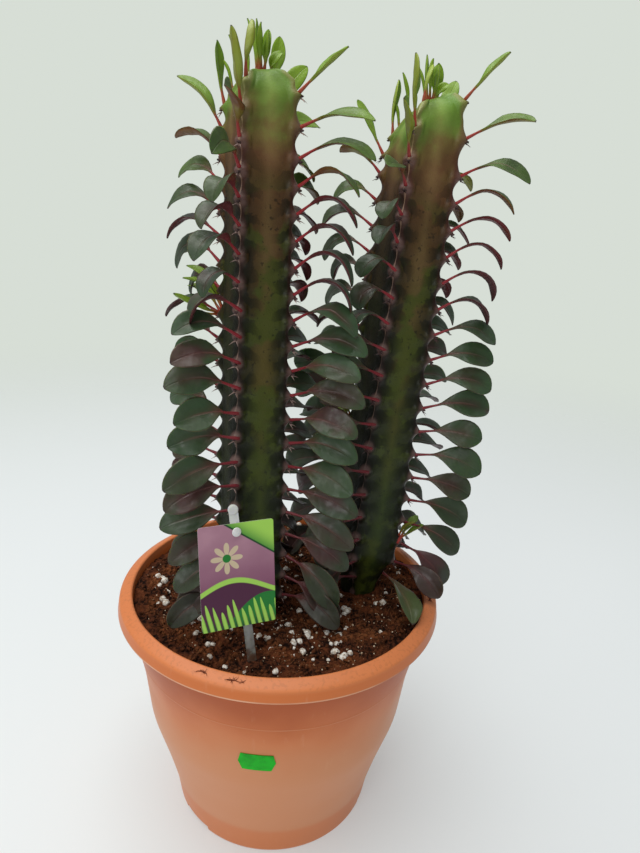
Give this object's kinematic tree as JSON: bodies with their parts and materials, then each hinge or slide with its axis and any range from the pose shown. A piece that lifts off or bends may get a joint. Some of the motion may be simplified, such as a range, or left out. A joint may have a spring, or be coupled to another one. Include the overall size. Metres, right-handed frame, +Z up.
{
  "type": "potted euphorbia",
  "caption": "Tall ribbed succulent stems with rows of drooping leaves, growing in soil in a round rimmed plastic pot, with a plant label on a stake and a small bare sticker.",
  "frame": {"origin": "centre of the underside of the pot, in the plane that it stands on", "axes": "+Z up along the pot's axis; the front, with the plant label and the price sticker, faces -Y; +X is to the viewer's right, on the side of the slanting stem"},
  "size_m": [0.2682, 0.2422, 0.5618],
  "materials": {
    "pot_plastic": "satin terracotta-coloured plastic",
    "soil": "moist, loose peat and fibre soil",
    "plant": "satin succulent skin and leaves",
    "label_card": "glossy printed plastic sheet",
    "label_stake": "milky, half-clear moulded plastic",
    "sticker": "fluorescent green matt paper"
  },
  "bodies": {
    "root": {"pot": "pot_plastic", "soil": "soil", "label_card": "label_card", "label_stake": "label_stake", "price_sticker": "sticker", "stem_left": "plant", "stem_right": "plant"}
  },
  "joints": []
}
